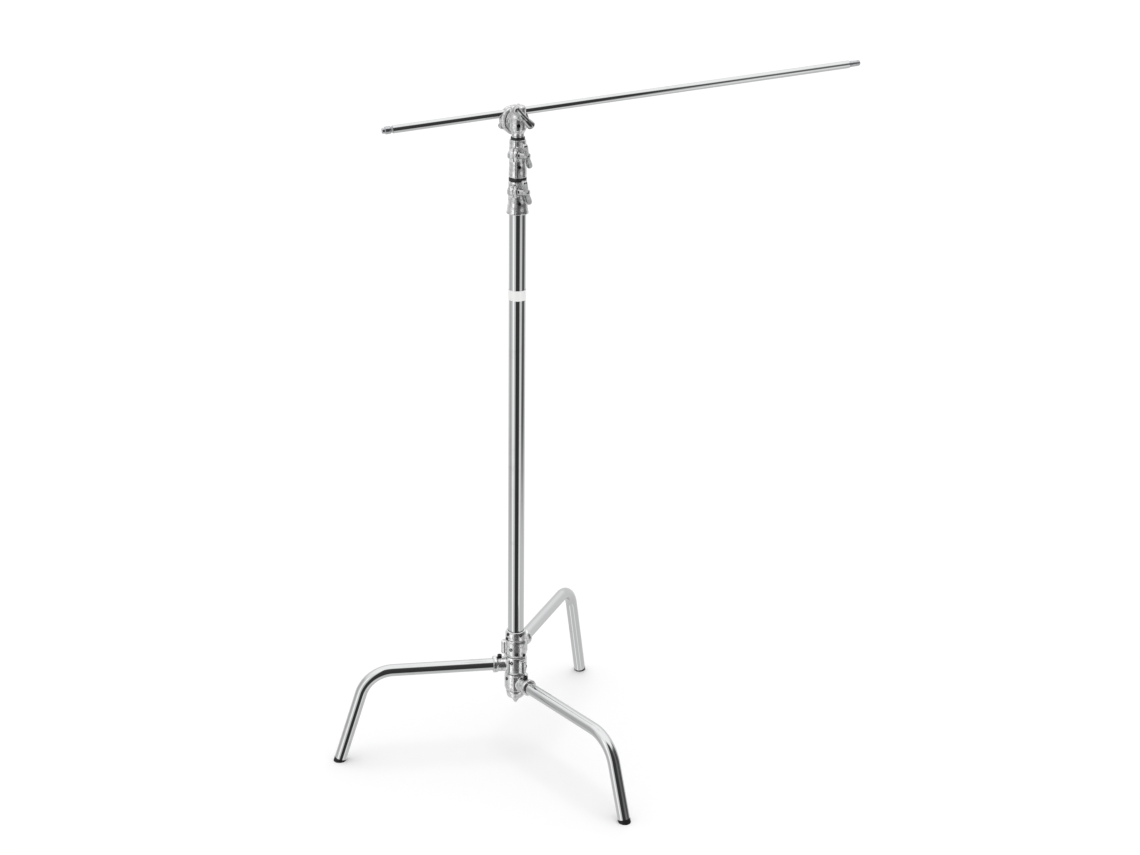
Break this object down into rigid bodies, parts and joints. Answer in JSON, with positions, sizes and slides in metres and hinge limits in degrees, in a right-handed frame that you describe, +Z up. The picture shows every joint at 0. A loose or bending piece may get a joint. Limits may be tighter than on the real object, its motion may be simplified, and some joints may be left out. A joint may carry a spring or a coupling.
{
  "type": "century light stand with grip arm",
  "caption": "Chrome century stand with nesting bent legs, telescoping risers held by T-handle collars, and a grip head carrying a long horizontal arm.",
  "frame": {"origin": "on the floor, under the middle of the whole object's bounding box; the column axis stands 0.1683 m to the -X side and 0.0094 m to the +Y side of it", "axes": "+Z up along the column; the arm lies over the XZ plane with its long end towards +X; +Y is the side of the column that the grip head's plates are on"},
  "size_m": [1.1498, 0.7064, 1.5223],
  "materials": {
    "chrome": "mirror chrome plate on steel tube",
    "cast_chrome": "chrome plate over a slightly rough casting",
    "zinc_steel": "bright zinc-plated steel",
    "black_steel": "black oxide screws",
    "black_plastic": "moulded black plastic",
    "black_rubber": "matte black rubber",
    "white_label": "white film, left blank"
  },
  "bodies": {
    "base": {"hub_spindle": "zinc_steel", "hub_nose": "cast_chrome", "hub_collar": "cast_chrome", "hub_spring": "zinc_steel", "spring_stop": "zinc_steel", "base_column": "chrome", "column_label": "white_label", "lower_collar": "cast_chrome", "lower_collar_bush": "black_plastic", "lower_collar_screw": "black_steel", "lower_clamp_nut": "zinc_steel", "lower_clamp_stud": "zinc_steel", "leg_hub_low": "cast_chrome", "leg_tube_low": "chrome", "foot_pad_low": "black_rubber", "leg_bolt_low": "black_steel"},
    "leg_mid": {"leg_hub_mid": "cast_chrome", "leg_tube_mid": "chrome", "foot_pad_mid": "black_rubber", "leg_bolt_mid": "black_steel"},
    "leg_top": {"leg_hub_top": "cast_chrome", "leg_tube_top": "chrome", "foot_pad_top": "black_rubber", "leg_bolt_top": "black_steel"},
    "lower_handle": {"lower_clamp_handle": "cast_chrome"},
    "riser_1": {"riser_1_tube": "chrome", "riser_1_glide": "black_plastic", "upper_collar": "cast_chrome", "upper_collar_bush": "black_plastic", "upper_collar_screw": "black_steel", "upper_clamp_nut": "zinc_steel", "upper_clamp_stud": "zinc_steel"},
    "upper_handle": {"upper_clamp_handle": "cast_chrome"},
    "riser_2": {"riser_2_tube": "chrome", "riser_2_glide": "black_plastic", "top_pin": "zinc_steel"},
    "head": {"head_body": "cast_chrome", "head_bolt": "zinc_steel", "head_lock_stud": "zinc_steel", "head_set_screw": "black_steel"},
    "lock_handle": {"head_lock_handle": "cast_chrome"},
    "jaws": {"inner_plate": "cast_chrome", "outer_plate": "cast_chrome", "jaw_spring": "zinc_steel", "thrust_washer": "zinc_steel", "thrust_bearing": "zinc_steel"},
    "main_handle": {"head_handle": "cast_chrome"},
    "arm": {"arm_rod": "chrome", "arm_end_pin": "zinc_steel", "arm_tip": "zinc_steel"}
  },
  "joints": [
    {"name": "leg_mid_swing", "type": "hinge", "parent": "base", "child": "leg_mid", "pos_m": [-0.16833, 0.00939, 0.217], "axis": [0, 0, 1], "range_deg": [0, 114]},
    {"name": "leg_top_swing", "type": "hinge", "parent": "base", "child": "leg_top", "pos_m": [-0.16833, 0.00939, 0.259], "axis": [0, 0, 1], "range_deg": [-114, 0]},
    {"name": "lower_handle_turn", "type": "hinge", "parent": "base", "child": "lower_handle", "pos_m": [-0.18142, -0.01423, 1.2945], "axis": [0.8746, -0.4848, 0], "range_deg": [0, 450]},
    {"name": "riser_1_slide", "type": "slide", "parent": "base", "child": "riser_1", "axis": [0, 0, 1], "range_m": [0, 0.85]},
    {"name": "upper_handle_turn", "type": "hinge", "parent": "riser_1", "child": "upper_handle", "pos_m": [-0.18069, -0.01291, 1.3685], "axis": [0.8746, -0.4848, 0], "range_deg": [0, 450]},
    {"name": "riser_2_slide", "type": "slide", "parent": "riser_1", "child": "riser_2", "axis": [0, 0, 1], "range_m": [0, 0.85]},
    {"name": "head_swivel", "type": "hinge", "parent": "riser_2", "child": "head", "pos_m": [-0.16833, 0.00939, 1.43], "axis": [0, 0, 1], "continuous": true},
    {"name": "lock_handle_turn", "type": "hinge", "parent": "head", "child": "lock_handle", "pos_m": [-0.16833, 0.00939, 1.4455], "axis": [0.1045, -0.9945, 0], "range_deg": [0, 450]},
    {"name": "jaw_turn", "type": "hinge", "parent": "head", "child": "jaws", "pos_m": [-0.16833, 0.04889, 1.4272], "axis": [0, 1, 0], "continuous": true},
    {"name": "main_handle_turn", "type": "hinge", "parent": "jaws", "child": "main_handle", "pos_m": [-0.16833, 0.04889, 1.4272], "axis": [0, 1, 0], "range_deg": [0, 450]},
    {"name": "arm_slide", "type": "slide", "parent": "jaws", "child": "arm", "axis": [0.995, 0, 0.1002], "range_m": [-0.6, 0.2]}
  ]
}
